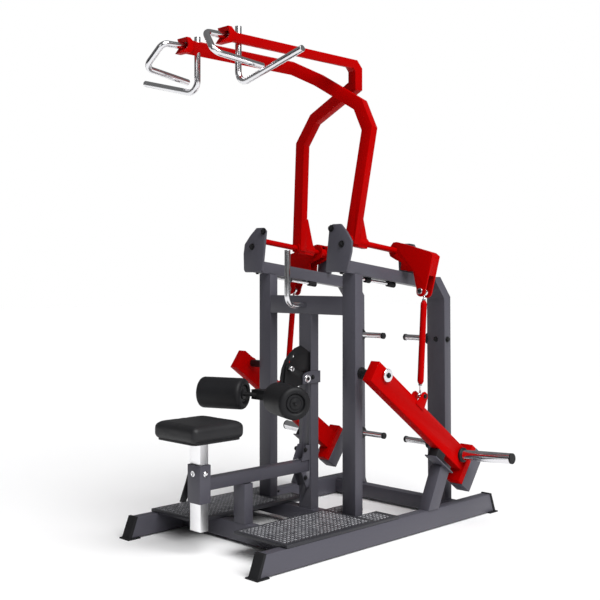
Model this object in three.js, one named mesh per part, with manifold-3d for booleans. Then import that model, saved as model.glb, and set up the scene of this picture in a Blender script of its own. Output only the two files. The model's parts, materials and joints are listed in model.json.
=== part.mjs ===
// Plate-loaded lat pulldown machine, in millimetres, +Z up.
// The seat is at the front (-Y), the weight levers are at the back, and X runs across the machine.
// Lengths along Y are laid out from the front edge of the front feet; the last lines centre the machine.
import * as THREE from 'three';
import { mergeVertices } from 'three/addons/utils/BufferGeometryUtils.js';
import Module from 'manifold-3d';

const wasm = await Module();
wasm.setup();

// ---------- driving dimensions ----------
const GAP = 0.3;
const WALL = 3;
const BASE_LENGTH = 1660;
const RAIL_X = 430;
const RAIL_WIDTH = 50;
const RAIL_TOP = 95;
const RAIL_BOTTOM = 6.5;
const RAIL_INNER = RAIL_X - RAIL_WIDTH / 2 - GAP;
const UPRIGHT_X = 281;
const UPRIGHT_WIDTH = 80;
const UPRIGHT_DEPTH = 50;
const UPRIGHT_FRONT = 736;
const SHAFT_X = 262;
const SHAFT_RADIUS = 14;
const SHAFT_FRONT = [672, 1374];
const SHAFT_TILT = THREE.MathUtils.degToRad(7.2);
const TOP_BEAM_HEIGHT = 56;
const TOP_BEAM_WIDTH = 60;
const REAR_UPRIGHT_X = 286;
const ARM_WIDTH = 60;
const ARM_DEPTH = 40;
const ARM_FRONT = 118;
const ARM_TOP = 2215;
const ARM_SPREAD = 138;
const GRIP_RADIUS = 14;
const SHAFT_LENGTH = 500;
const CRANK_PIN = [174, -196];
const CRANK_FRONT = 420;
const CRANK_DEPTH = 58;
const LEVER_X = 444;
const LEVER_WIDTH = 50;
const LEVER_HEIGHT = 100;
const LEVER_PIVOT = [776, 756];
const LEVER_ANGLE = THREE.MathUtils.degToRad(-36);
const LEVER_DROP = -24;
const HORN_RADIUS = 25;
const HORN_TIP_X = 757;
const SEAT_BEAM_BOTTOM = 274;
const SEAT_BEAM_TOP = 327;
const SEAT_POST_Y = 88;
const SEAT_TOP = 578;
const SEAT_SIZE = 290;
const ROLLER_RADIUS = 73;
const ROLLER_INNER = [107, 449];
const ROLLER_OUTER = [315, 362];
const ROLLER_Z = 652;
const ROLLER_PIVOT = [706, 715];

// ---------- finishes ----------
const finish = (colour, roughness, metalness) =>
  new THREE.MeshStandardMaterial({ color: colour, roughness, metalness });
const redPaint = finish(0xc00808, 0.4, 0.1);
const charcoalPaint = finish(0x4d4c54, 0.5, 0.2);
const chrome = finish(0xd8d8dc, 0.15, 1.0);
const blackRubber = finish(0x1c1c1e, 0.8, 0.0);
const blackVinyl = finish(0x202022, 0.6, 0.0);
const blackPlastic = finish(0x232325, 0.5, 0.0);
const treadSteel = finish(0x3a3a3e, 0.45, 0.6);

const machine = new THREE.Group();

function place(name, geometry, material, parent = machine) {
  const mesh = new THREE.Mesh(geometry, material);
  mesh.name = name;
  parent.add(mesh);
  return mesh;
}

// ---------- joining and cutting ----------
function solid(geometry) {
  const bare = geometry.index ? geometry.toNonIndexed() : geometry.clone();
  bare.deleteAttribute('normal');
  bare.deleteAttribute('uv');
  const merged = mergeVertices(bare, 0.001);
  const vertProperties = new Float32Array(merged.attributes.position.array);
  const triVerts = new Uint32Array(merged.index.array);
  return new wasm.Manifold(new wasm.Mesh({ numProp: 3, vertProperties, triVerts }));
}

function geometryOf(body) {
  const mesh = body.getMesh();
  const geometry = new THREE.BufferGeometry();
  geometry.setAttribute('position', new THREE.BufferAttribute(new Float32Array(mesh.vertProperties), 3));
  geometry.setIndex(new THREE.BufferAttribute(new Uint32Array(mesh.triVerts), 1));
  geometry.computeVertexNormals();
  return geometry;
}

function join(...pieces) {
  return geometryOf(pieces.map(solid).reduce((whole, piece) => whole.add(piece)));
}

function cut(blank, ...tools) {
  return geometryOf(tools.map(solid).reduce((whole, tool) => whole.subtract(tool), solid(blank)));
}

// ---------- plain shapes ----------
function block(low, high) {
  const size = high.map((value, index) => value - low[index]);
  const middle = high.map((value, index) => (value + low[index]) / 2);
  return new THREE.BoxGeometry(...size).translate(...middle);
}

// A plate with its outline in the Y-Z plane, from x0 to x1.
function plateAcross(outline, x0, x1) {
  const shape = new THREE.Shape(outline.map(([y, z]) => new THREE.Vector2(y, z)));
  const geometry = new THREE.ExtrudeGeometry(shape, { depth: x1 - x0, bevelEnabled: false });
  const axes = new THREE.Matrix4().makeBasis(
    new THREE.Vector3(0, 1, 0), new THREE.Vector3(0, 0, 1), new THREE.Vector3(1, 0, 0));
  return geometry.applyMatrix4(axes).translate(x0, 0, 0);
}

// A plate with its outline in the X-Z plane, from y0 to y1.
function plateAlong(outline, y0, y1) {
  const shape = new THREE.Shape(outline.map(([x, z]) => new THREE.Vector2(x, z)));
  const geometry = new THREE.ExtrudeGeometry(shape, { depth: y1 - y0, bevelEnabled: false });
  const axes = new THREE.Matrix4().makeBasis(
    new THREE.Vector3(1, 0, 0), new THREE.Vector3(0, 0, 1), new THREE.Vector3(0, -1, 0));
  return geometry.applyMatrix4(axes).translate(0, y1, 0);
}

function rectangle(width, height) {
  return [[-width / 2, -height / 2], [width / 2, -height / 2], [width / 2, height / 2], [-width / 2, height / 2]];
}

function circle(radius, sides) {
  const points = [];
  for (let step = 0; step < sides; step += 1) {
    const angle = (2 * Math.PI * (step + 0.5)) / sides;
    points.push([radius * Math.cos(angle), radius * Math.sin(angle)]);
  }
  return points;
}

// A bar of one section along a path of straight runs, mitred at each corner. "up" points along the
// section's second direction. A hollow bar is open at both ends.
function bar(section, path, up, inner = null) {
  const points = path.map((point) => new THREE.Vector3(...point));
  const runs = points.slice(1).map((point, index) => point.clone().sub(points[index]).normalize());
  const second = new THREE.Vector3(...up);
  second.addScaledVector(runs[0], -second.dot(runs[0])).normalize();
  const first = second.clone().cross(runs[0]);
  const corner = (x, y) => points[0].clone().addScaledVector(first, x).addScaledVector(second, y);
  const loops = (inner ? [section, inner] : [section]).map((outline) => {
    const rings = [outline.map(([x, y]) => corner(x, y))];
    for (let index = 1; index < points.length; index += 1) {
      const before = runs[index - 1];
      const after = runs[Math.min(index, runs.length - 1)];
      const normal = before.clone().add(after).normalize();
      rings.push(rings[index - 1].map((point) => {
        const travel = points[index].clone().sub(point).dot(normal) / before.dot(normal);
        return point.clone().addScaledVector(before, travel);
      }));
    }
    return rings;
  });
  const vertices = [];
  const triangle = (a, b, c) => vertices.push(a.x, a.y, a.z, b.x, b.y, b.z, c.x, c.y, c.z);
  const quad = (a, b, c, d) => {
    triangle(a, b, c);
    triangle(a, c, d);
  };
  loops.forEach((rings, layer) => {
    for (let index = 1; index < rings.length; index += 1) {
      const back = rings[index - 1];
      const front = rings[index];
      back.forEach((point, side) => {
        const next = (side + 1) % back.length;
        if (layer === 0) quad(point, back[next], front[next], front[side]);
        else quad(point, front[side], front[next], back[next]);
      });
    }
  });
  const outer = loops[0];
  const last = outer.length - 1;
  if (inner) {
    const bore = loops[1];
    outer[0].forEach((point, side) => {
      const next = (side + 1) % outer[0].length;
      quad(point, bore[0][side], bore[0][next], outer[0][next]);
      quad(outer[last][side], outer[last][next], bore[last][next], bore[last][side]);
    });
  } else {
    for (let side = 1; side < outer[0].length - 1; side += 1) {
      triangle(outer[0][0], outer[0][side + 1], outer[0][side]);
      triangle(outer[last][0], outer[last][side], outer[last][side + 1]);
    }
  }
  const geometry = new THREE.BufferGeometry();
  geometry.setAttribute('position', new THREE.Float32BufferAttribute(vertices, 3));
  return geometry;
}

function boxTube(width, height, path, up, wall = WALL) {
  return bar(rectangle(width, height), path, up, rectangle(width - 2 * wall, height - 2 * wall));
}

function rod(radius, from, to, sides = 16) {
  const up = Math.abs(from[2] - to[2]) > Math.abs(from[0] - to[0]) + Math.abs(from[1] - to[1]) ? [0, 1, 0] : [0, 0, 1];
  return bar(circle(radius, sides), [from, to], up);
}

// Rounds the corners of a path with arcs of straight chords.
function roundedPath(path, radius, chords = 4) {
  const points = path.map((point) => new THREE.Vector3(...point));
  const rounded = [points[0]];
  for (let index = 1; index < points.length - 1; index += 1) {
    const toBefore = points[index - 1].clone().sub(points[index]).normalize();
    const toAfter = points[index + 1].clone().sub(points[index]).normalize();
    const reach = radius / Math.tan(toBefore.angleTo(toAfter) / 2);
    const start = points[index].clone().addScaledVector(toBefore, reach);
    const end = points[index].clone().addScaledVector(toAfter, reach);
    const inward = toBefore.clone().add(toAfter).normalize();
    const centre = points[index].clone().addScaledVector(inward, Math.hypot(radius, reach));
    for (let chord = 0; chord <= chords; chord += 1) {
      const along = start.clone().lerp(end, chord / chords).sub(centre).setLength(radius);
      rounded.push(centre.clone().add(along));
    }
  }
  rounded.push(points[points.length - 1]);
  return rounded.map((point) => point.toArray());
}

// ---------- base ----------
// How far back the sloping end of a rail lies at a height above the floor.
function railSlope(z) {
  return 22 + (z + 1) * 37 / 102;
}

function baseRail(side) {
  const x = side * RAIL_X;
  const tube = boxTube(RAIL_WIDTH, RAIL_TOP - RAIL_BOTTOM,
    [[x, 0, (RAIL_TOP + RAIL_BOTTOM) / 2], [x, BASE_LENGTH, (RAIL_TOP + RAIL_BOTTOM) / 2]], [0, 0, 1]);
  const slope = [[-1, -1], [railSlope(-1), -1], [railSlope(101), 101], [-1, 101]];
  const mirrored = slope.map(([y, z]) => [BASE_LENGTH - y, z]).reverse();
  return cut(tube, plateAcross(slope, x - 40, x + 40), plateAcross(mirrored, x - 40, x + 40));
}

// Moulded end cap: a flared foot pad and a sloping cover over the rail's mitred end.
function endCap(side, end) {
  const x = side * RAIL_X;
  const flip = (outline) => (end > 0 ? outline : outline.map(([y, z]) => [BASE_LENGTH - y, z]).reverse());
  const pad = plateAcross(flip([[0, 0], [67, 0], [67, 6], [0, 6]]), x - 36, x + 36);
  const cover = plateAcross(flip([[8, 5], [24, 5], [58.4, 99], [45, 99]]), x - 27, x + 27);
  const rail = plateAcross(flip([[railSlope(RAIL_BOTTOM) - 2 * GAP, RAIL_BOTTOM - GAP], [200, RAIL_BOTTOM - GAP],
    [200, 101], [railSlope(101) - 2 * GAP, 101]]), x - 26, x + 26);
  return cut(join(pad, cover), rail);
}

function treadPlate(side) {
  const x0 = Math.min(side * 130, side * 456);
  const x1 = Math.max(side * 130, side * 456);
  const tray = block([x0, 172, 96], [x1, 880, 110]);
  const below = block([x0 + 4, 180, 60], [x1 - 4, 872, 106]);
  const uprightSlot = block([side * UPRIGHT_X - 41, UPRIGHT_FRONT - 1, 60], [side * UPRIGHT_X + 41, 900, 120]);
  return cut(tray, below, uprightSlot);
}

for (const [side, hand] of [[1, 'right'], [-1, 'left']]) {
  place(`base_rail_${hand}`, baseRail(side), charcoalPaint);
  place(`end_cap_front_${hand}`, endCap(side, 1), blackRubber);
  place(`end_cap_rear_${hand}`, endCap(side, -1), blackRubber);
}

function crossBeam(front, depth, bottom, top) {
  const middle = [front + depth / 2, (bottom + top) / 2];
  return boxTube(depth, top - bottom, [[-RAIL_INNER, ...middle], [RAIL_INNER, ...middle]], [0, 0, 1]);
}

place('front_cross_beam', crossBeam(319, 50, 14, 94), charcoalPaint);
place('middle_cross_beam', crossBeam(731, 60, 30, 94), charcoalPaint);
place('rear_cross_beam', crossBeam(1384, 60, 14, 80), charcoalPaint);

for (const [side, hand] of [[1, 'right'], [-1, 'left']]) {
  place(`tread_plate_${hand}`, treadPlate(side), treadSteel);
}

// ---------- upright frame ----------
function topBeamHeight(y) {
  return SHAFT_FRONT[1] - 100 - (y - SHAFT_FRONT[0]) * Math.tan(SHAFT_TILT);
}

function upright(x) {
  const y = UPRIGHT_FRONT + UPRIGHT_DEPTH / 2;
  const tube = boxTube(UPRIGHT_WIDTH, UPRIGHT_DEPTH, [[x, y, 94 + GAP], [x, y, 1400]], [0, 1, 0]);
  const underside = (front) => topBeamHeight(front) - TOP_BEAM_HEIGHT / Math.cos(SHAFT_TILT) - GAP;
  const above = [[600, underside(600)], [900, underside(900)], [900, 1500], [600, 1500]];
  return cut(tube, plateAcross(above, x - 60, x + 60));
}

function centreUpright() {
  const y = UPRIGHT_FRONT + UPRIGHT_DEPTH / 2;
  const crossBeamBottom = 1018;
  const tube = boxTube(UPRIGHT_WIDTH, UPRIGHT_DEPTH, [[0, y, 94 + GAP], [0, y, crossBeamBottom - GAP]], [0, 1, 0]);
  const face = UPRIGHT_FRONT + 1;
  const upper = [[face - 54, SEAT_BEAM_TOP + GAP], [face, SEAT_BEAM_TOP + GAP], [face, 398], [face - 22, 398]];
  const lower = [[face, 200], [face, SEAT_BEAM_BOTTOM - GAP], [face - 54, SEAT_BEAM_BOTTOM - GAP], [face - 22, 200]];
  return join(tube, plateAcross(upper, -30, -24), plateAcross(upper, 24, 30),
    plateAcross(lower, -30, -24), plateAcross(lower, 24, 30));
}

// Side outline of the bent rear upright; "grow" moves its front edge forward.
function rearUprightOutline(bottom, grow) {
  return [[1387 - grow, bottom], [1437, bottom], [1427, 1094], [1345, 1194], [1300 - grow, 1194],
    [1307 - grow, 1170 - grow], [1377 - grow, 1085 - grow]];
}

function rearUpright(side) {
  const x = side * REAR_UPRIGHT_X;
  const inner = [[1390, 70], [1434, 70], [1424, 1093], [1343, 1191], [1303, 1191], [1310, 1171], [1380, 1086]];
  const outer = rearUprightOutline(80 + GAP, 0);
  return cut(plateAcross(outer, x - 55, x + 55), plateAcross(inner, x - 52, x + 52));
}

place('upright_right', upright(UPRIGHT_X), charcoalPaint);
place('upright_left', upright(-UPRIGHT_X), charcoalPaint);
place('upright_centre', centreUpright(), charcoalPaint);

place('upper_cross_beam', boxTube(UPRIGHT_DEPTH, 86,
  [[-UPRIGHT_X + 40 + GAP, 761, 1061], [UPRIGHT_X - 40 - GAP, 761, 1061]], [0, 0, 1]), charcoalPaint);

place('rear_upright_right', rearUpright(1), charcoalPaint);
place('rear_upright_left', rearUpright(-1), charcoalPaint);

// Fixed pull handle: a bent tube that leaves the upper cross beam and turns upwards.
place('centre_handle', bar(circle(GRIP_RADIUS, 12),
  roundedPath([[0, 736 - GAP, 1061], [0, 619, 1061], [0, 619, 1320]], 45), [1, 0, 0]), chrome);

// ---------- parts turned on a lathe ----------
// The profile lists radius and distance along the axis; the axis runs from "origin" towards "direction".
function turned(profile, origin, direction, sides = 20) {
  const geometry = new THREE.LatheGeometry(profile.map(([radius, along]) => new THREE.Vector2(radius, along)), sides);
  const turn = new THREE.Quaternion().setFromUnitVectors(
    new THREE.Vector3(0, 1, 0), new THREE.Vector3(...direction).normalize());
  return geometry.applyQuaternion(turn).translate(...origin);
}

// Storage peg for spare weight plates: flange against the upright, bar, and end cap.
function storagePeg(side, z) {
  const profile = [[0, 0], [30, 0], [30, 10], [22, 14], [15, 14], [15, 150], [17, 150], [17, 162], [0, 162]];
  return turned(profile, [side * (REAR_UPRIGHT_X - 55 - GAP), 1409 - z * 0.01, z], [-side, 0, 0]);
}

for (const [side, hand] of [[1, 'right'], [-1, 'left']]) {
  place(`storage_peg_upper_${hand}`, storagePeg(side, 882), chrome);
  place(`storage_peg_lower_${hand}`, storagePeg(side, 353), chrome);
}

// ---------- shafts, arms and cranks ----------
// The two shafts slope down towards the back. Their plates, cranks and hubs are laid out square to the
// shaft: the local Y axis runs along it from the front plate.
const sideGroups = {};
for (const side of [1, -1]) {
  const group = new THREE.Group();
  group.position.set(side * SHAFT_X, SHAFT_FRONT[0], SHAFT_FRONT[1]);
  group.rotation.x = -SHAFT_TILT;
  machine.add(group);
  sideGroups[side] = group;
}

function mirrored(outline, side) {
  return side > 0 ? outline : outline.map(([x, z]) => [-x, z]).reverse();
}

function frontShaftPlate(side) {
  const outline = [[-50, -152], [-44, -158], [74, -158], [84, -146], [98, -66], [96, -18], [60, 26], [20, 62],
    [-32, 62], [-50, 46]];
  const plate = plateAlong(mirrored(outline, side), 0, 12);
  const bore = rod(SHAFT_RADIUS + 0.5, [0, 6, 0], [0, 40, 0]);
  return cut(plate, bore);
}

// Sloping top beam, parallel to the shaft, with the plate for the shaft's rear bearing welded on it.
function topBeam(side) {
  const x = side * (UPRIGHT_X - SHAFT_X);
  const top = -100 * Math.cos(SHAFT_TILT);
  const middle = top - TOP_BEAM_HEIGHT / 2;
  const beam = boxTube(TOP_BEAM_WIDTH, TOP_BEAM_HEIGHT, [[x, 12 + GAP, middle], [x, 690, middle]], [0, 0, 1]);
  const outline = [[-30, top - 2], [62, top - 2], [62, 16], [44, 42], [20, 46], [-16, 46], [-40, 20], [-40, -40]];
  const plate = plateAlong(mirrored(outline, side), SHAFT_LENGTH, SHAFT_LENGTH + 12);
  const bore = rod(SHAFT_RADIUS + 0.5, [0, SHAFT_LENGTH - 10, 0], [0, SHAFT_LENGTH + 6, 0]);
  const behind = plateAcross(rearUprightOutline(60, GAP), -120, 120)
    .translate(0, -SHAFT_FRONT[0], -SHAFT_FRONT[1])
    .applyMatrix4(new THREE.Matrix4().makeRotationX(SHAFT_TILT));
  return cut(join(beam, plate), bore, behind);
}

function crank(side) {
  const front = CRANK_FRONT;
  const back = front + CRANK_DEPTH;
  const [pinX, pinZ] = CRANK_PIN;
  const lug = [];
  for (let step = 0; step <= 6; step += 1) {
    const angle = -0.15 - (Math.PI - 0.15) * (step / 6);
    lug.push([pinX + 25 * Math.cos(angle), pinZ + 25 * Math.sin(angle)]);
  }
  const outline = [[-36, 14], [-16, 40], [6, 42], [205, -8], [228, -24], [204, -170], ...lug, [149, -186],
    [120, -100], [43, -94], [45, -58], [10, -46], [-28, -28], [-38, -8]].reverse();
  const web = [[-16, 40], [6, 42], [205, -8], [228, -24], [212, -120], [204, -120], [219, -26], [201, -16], [5, 34],
    [-12, 32]].reverse();
  const frontPlate = plateAlong(mirrored(outline, side), front, front + 8);
  const rearPlate = plateAlong(mirrored(outline, side), back - 8, back);
  const cover = plateAlong(mirrored(web, side), front + 4, back - 4);
  const hub = rod(24, [0, front + 4, 0], [0, back - 4, 0], 24);
  const pin = rod(8, [side * pinX, front - 6, pinZ], [side * pinX, back + 6, pinZ], 16);
  const bore = rod(SHAFT_RADIUS + GAP, [0, front - 20, 0], [0, back + 20, 0]);
  return cut(join(frontPlate, rearPlate, cover, hub, pin), bore);
}

for (const [side, hand] of [[1, 'right'], [-1, 'left']]) {
  const group = sideGroups[side];
  const shaft = rod(SHAFT_RADIUS, [0, 6.5, 0], [0, SHAFT_LENGTH + 5, 0]);
  place(`shaft_${hand}`, shaft, redPaint, group);
  place(`shaft_plate_front_${hand}`, frontShaftPlate(side), charcoalPaint, group);
  place(`top_beam_${hand}`, topBeam(side), charcoalPaint, group);
  place(`crank_${hand}`, crank(side), redPaint, group);
}

// Height of the shaft's centre line above the floor.
function shaftZ(y) {
  return SHAFT_FRONT[1] - (y - SHAFT_FRONT[0]) * Math.tan(SHAFT_TILT);
}

// The right arm stands on the right-hand shaft and crosses over to the left, and the left arm the other
// way. The right arm passes in front of the left one, under its long top run.
const armPaths = {
  1: [[262, 778, shaftZ(778) - 14], [308, 848, 1878], [232, 870, 2000], [-10, 842, 2146], [-ARM_SPREAD, 787, ARM_TOP],
    [-ARM_SPREAD, ARM_FRONT, ARM_TOP]],
  '-1': [[-262, 959, shaftZ(959) - 14], [-308, 1030, 1878], [-236, 1050, 2004], [ARM_SPREAD, 940, 2110],
    [ARM_SPREAD, 940, ARM_TOP - 28], [ARM_SPREAD, 912, ARM_TOP], [ARM_SPREAD, ARM_FRONT, ARM_TOP]],
};

// Wide grip: a tube that stands through the arm's tip, then turns outwards and rises.
function wideGrip(side) {
  const x = -side * ARM_SPREAD;
  const out = Math.sign(x);
  const path = [[x, 191, ARM_TOP + 52], [x, 191, 2012], [x + out * 388, 191, 2111]];
  return bar(circle(GRIP_RADIUS, 12), roundedPath(path, 48), [0, 1, 0]);
}

// Parallel grip: leaves the arm's front end, turns outwards and down, and runs back below the arm.
function parallelGrip(side) {
  const x = -side * ARM_SPREAD;
  const out = Math.sign(x);
  const path = [[x, ARM_FRONT + 29, ARM_TOP], [x + out * 6, 4, ARM_TOP - 4], [x + out * 94, -26, 2112],
    [x + out * 114, 229, 2085]];
  return bar(circle(GRIP_RADIUS, 12), roundedPath(path, 34), [1, 0, 0]);
}

function arm(side, hand) {
  const path = armPaths[side];
  const tube = boxTube(ARM_WIDTH, ARM_DEPTH, path, [0, 1, 0]);
  const foot = path[0];
  const gusset = plateAcross([[foot[1] - 20, foot[2] - 8], [foot[1] + 84, foot[2] - 22], [foot[1] + 84, foot[2] + 24],
    [foot[1] + 44, foot[2] + 165], [foot[1] + 20, foot[2] + 165]], foot[0] - 12, foot[0] + 20);
  const slope = Math.tan(SHAFT_TILT);
  const hub = rod(25, [foot[0], foot[1] - 24, foot[2] + 14 + 24 * slope], [foot[0], foot[1] + 92, foot[2] + 14 - 92 * slope], 24);
  const tip = path[path.length - 1];
  const cheek = plateAcross([[tip[1] - 26, tip[2] - 34], [tip[1] + 6, tip[2] - 34], [tip[1] + 24, tip[2] - 18],
    [tip[1] + 24, tip[2] + 18], [tip[1] + 6, tip[2] + 34], [tip[1] - 14, tip[2] + 34], [tip[1] - 2, tip[2]]].reverse(),
  tip[0] - 34, tip[0] + 34);
  const bore = rod(SHAFT_RADIUS + GAP, [foot[0], foot[1] - 60, foot[2] + 14 + 60 * slope],
    [foot[0], foot[1] + 140, foot[2] + 14 - 140 * slope]);
  const gripHole = rod(GRIP_RADIUS + GAP, [tip[0], 191, 2100], [tip[0], 191, 2300]);
  const mouth = block([tip[0] - 27, ARM_FRONT - 60, ARM_TOP - 17], [tip[0] + 27, ARM_FRONT + 30 + GAP, ARM_TOP + 17]);
  const plug = block([tip[0] - 28, ARM_FRONT + 30 + GAP, ARM_TOP - 18], [tip[0] + 28, ARM_FRONT + 38, ARM_TOP + 18]);
  place(`arm_${hand}`, cut(join(tube, gusset, hub, cheek, plug), bore, gripHole, mouth), redPaint);
  place(`wide_grip_${hand}`, wideGrip(side), chrome);
  place(`parallel_grip_${hand}`, parallelGrip(side), chrome);
}

arm(1, 'right');
arm(-1, 'left');

// ---------- weight levers ----------
// Laid out in a group at the pivot: local Y runs down the lever, local Z is square to it.
function leverGroup(side) {
  const group = new THREE.Group();
  group.position.set(side * LEVER_X, LEVER_PIVOT[0], LEVER_PIVOT[1]);
  group.rotation.x = LEVER_ANGLE;
  machine.add(group);
  return group;
}

const LEVER_END = 747;
const HORN_ALONG = 711;
const HORN_RISE = Math.tan(THREE.MathUtils.degToRad(3.6));
const CLEVIS = [290, 67];

// The horn tips up slightly from the lever's side.
function onHorn(side, distance) {
  const out = new THREE.Vector3(side, HORN_RISE * Math.sin(LEVER_ANGLE), HORN_RISE * Math.cos(LEVER_ANGLE));
  return out.setLength(distance).add(new THREE.Vector3(0, HORN_ALONG, -6.5)).toArray();
}

function weightLever(side) {
  const half = LEVER_WIDTH / 2;
  const middle = LEVER_DROP;
  const tube = boxTube(LEVER_WIDTH, LEVER_HEIGHT, [[0, -74, middle], [0, LEVER_END + 1, middle]], [0, 0, 1]);
  const frontPlug = block([-half + 1, -74, middle - 48], [half - 1, -68, middle + 48]);
  const head = block([-36, LEVER_END, middle - 108], [36, LEVER_END + 35, middle + 90]);
  const [along, height] = CLEVIS;
  const lugOutline = [[along - 34, 6], [along + 32, 6], [along + 22, height + 6], [along + 10, height + 18],
    [along - 10, height + 18], [along - 22, height + 6]];
  const lugs = [plateAcross(lugOutline, -half - 5, -half + 1), plateAcross(lugOutline, half - 1, half + 5)];
  const pivotBoss = rod(29, [-side * (half + 3), 0, 0], [side * (half + 6), 0, 0], 24);
  const axleBore = rod(15 + GAP, [-60, 0, 0], [60, 0, 0]);
  const hornBore = rod(HORN_RADIUS + GAP, onHorn(side, 0), onHorn(side, 60), 22);
  return cut(join(tube, frontPlug, head, ...lugs, pivotBoss), axleBore, hornBore);
}

function weightHorn(side) {
  const length = HORN_TIP_X - LEVER_X;
  const profile = [[0, -15], [25, -15], [25, 28], [34, 28], [34, 39], [25, 43], [25, length - 13],
    [24.5, length - 12], [24.5, length - 3], [22, length], [0, length]];
  const direction = new THREE.Vector3(...onHorn(side, 1)).sub(new THREE.Vector3(...onHorn(side, 0)));
  return turned(profile, onHorn(side, 0), direction.toArray(), 22);
}

// Bearing on the upright's outer face: round flange, barrel and the fixed axle the lever swings on.
function leverBearing(side) {
  const face = UPRIGHT_X + UPRIGHT_WIDTH / 2 + GAP;
  const [y, z] = LEVER_PIVOT;
  const flange = rod(27, [side * face, y, z], [side * (face + 8), y, z], 24);
  const barrel = rod(18, [side * (face + 4), y, z], [side * (LEVER_X - 25 - 3 - 0.5), y, z], 24);
  const axle = rod(15, [side * (face + 4), y, z], [side * (LEVER_X + 25 + 8), y, z], 24);
  const washer = rod(29, [side * (LEVER_X + 31.5), y, z], [side * (LEVER_X + 37), y, z], 24);
  return join(flange, barrel, axle, washer);
}

for (const [side, hand] of [[1, 'right'], [-1, 'left']]) {
  const group = leverGroup(side);
  place(`weight_lever_${hand}`, weightLever(side), redPaint, group);
  place(`weight_horn_${hand}`, weightHorn(side), chrome, group);
  const balance = block([-38, LEVER_END + 35 + GAP, LEVER_DROP - 111], [38, LEVER_END + 110, LEVER_DROP + 92]);
  place(`balance_block_${hand}`, balance, charcoalPaint, group);
  const pad = block([-28, 533, -118], [28, 595, LEVER_DROP - LEVER_HEIGHT / 2 - GAP]);
  place(`bumper_pad_${hand}`, pad, blackRubber, group);
  const capPlate = block([-34, 526, -124], [34, 686, -118 - GAP]);
  const postX = RAIL_X - LEVER_X;
  const post = boxTube(60, 72, [[side * postX, 1097, 20], [side * postX, 1097 + 260 * 0.49, 280]], [0, 1, 0]);
  const toLever = new THREE.Matrix4().makeRotationX(-LEVER_ANGLE)
    .multiply(new THREE.Matrix4().makeTranslation(0, -LEVER_PIVOT[0], -LEVER_PIVOT[1]));
  const standing = post.applyMatrix4(toLever);
  const above = block([-80, 400, -123], [80, 800, 100]);
  const below = block([-200, 900, -60], [200, 1300, RAIL_TOP + GAP]).applyMatrix4(toLever);
  place(`bumper_post_${hand}`, join(geometryOf(solid(cut(standing, above, below))), capPlate), charcoalPaint, group);
  place(`lever_bearing_${hand}`, leverBearing(side), blackPlastic);
}

// ---------- links ----------
// A tube with a rod end at each end. The upper eye turns on the crank's pin. The lower eye stands between
// the lugs on the weight lever, with side play for its swing.
function link(side) {
  const crankY = CRANK_FRONT + CRANK_DEPTH / 2;
  const pin = new THREE.Vector3(side * CRANK_PIN[0], crankY, CRANK_PIN[1])
    .applyAxisAngle(new THREE.Vector3(1, 0, 0), -SHAFT_TILT)
    .add(new THREE.Vector3(side * SHAFT_X, ...SHAFT_FRONT));
  const clevis = new THREE.Vector3(0, ...CLEVIS)
    .applyAxisAngle(new THREE.Vector3(1, 0, 0), LEVER_ANGLE)
    .add(new THREE.Vector3(side * LEVER_X, ...LEVER_PIVOT));
  const run = clevis.clone().sub(pin);
  const length = run.length();
  const at = (distance) => pin.clone().addScaledVector(run, distance / length).toArray();
  const pinAxis = new THREE.Vector3(0, Math.cos(SHAFT_TILT), -Math.sin(SHAFT_TILT));
  const alongPin = (distance) => pin.clone().addScaledVector(pinAxis, distance).toArray();
  const upperEye = rod(18, alongPin(-6), alongPin(6), 20);
  const lowerEye = rod(14, [clevis.x - 4, clevis.y, clevis.z], [clevis.x + 4, clevis.y, clevis.z], 20);
  const stem = rod(5, at(14), at(length - 10), 12);
  const tube = turned([[0, 0], [8, 0], [15, 14], [15, length - 108], [8, length - 94], [0, length - 94]], at(40),
    run.toArray(), 20);
  return cut(join(stem, upperEye, lowerEye, tube), rod(10.5, alongPin(-20), alongPin(20), 20));
}

place('link_right', link(1), redPaint);
place('link_left', link(-1), redPaint);

// ---------- seat ----------
function seatBeam() {
  const middle = (SEAT_BEAM_BOTTOM + SEAT_BEAM_TOP) / 2;
  const beam = boxTube(50, SEAT_BEAM_TOP - SEAT_BEAM_BOTTOM, [[0, 112, middle], [0, UPRIGHT_FRONT - GAP, middle]],
    [0, 0, 1]);
  const sleeve = boxTube(84, 60, [[0, SEAT_POST_Y, 224], [0, SEAT_POST_Y, 389]], [0, 1, 0], 5);
  const pivotStud = rod(7, [-41, SEAT_POST_Y, 352], [-62, SEAT_POST_Y, 352], 12);
  const opening = block([-37, 64, 200], [37, 113, 400]);
  return cut(join(beam, sleeve, pivotStud), opening);
}

place('seat_beam', seatBeam(), charcoalPaint);
place('seat_support_post', boxTube(75, 50, [[0, 342, 94 + GAP], [0, 342, SEAT_BEAM_BOTTOM - GAP]], [0, 1, 0]),
  charcoalPaint);
place('seat_post', join(
  bar(rectangle(70, 45), [[0, SEAT_POST_Y, 104], [0, SEAT_POST_Y, 491]], [0, 1, 0], rectangle(62, 37)),
  block([-90, 8, 490], [90, 168, 496])), chrome);

function seatPad() {
  const half = SEAT_SIZE / 2;
  const corner = 60;
  const outline = [];
  for (const [cx, cy, start] of [[1, 1, 0], [-1, 1, 90], [-1, -1, 180], [1, -1, 270]]) {
    for (let step = 0; step <= 4; step += 1) {
      const angle = THREE.MathUtils.degToRad(start + step * 22.5);
      outline.push(new THREE.Vector2(cx * (half - corner) + corner * Math.cos(angle),
        cy * (half - corner) + corner * Math.sin(angle)));
    }
  }
  const rounding = { depth: SEAT_TOP - 496 - GAP - 24, bevelThickness: 12, bevelSize: 12, bevelOffset: -12, bevelSegments: 2 };
  return new THREE.ExtrudeGeometry(new THREE.Shape(outline), rounding).translate(0, SEAT_POST_Y, 496 + GAP + 12);
}

place('seat_pad', seatPad(), blackVinyl);

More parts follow.
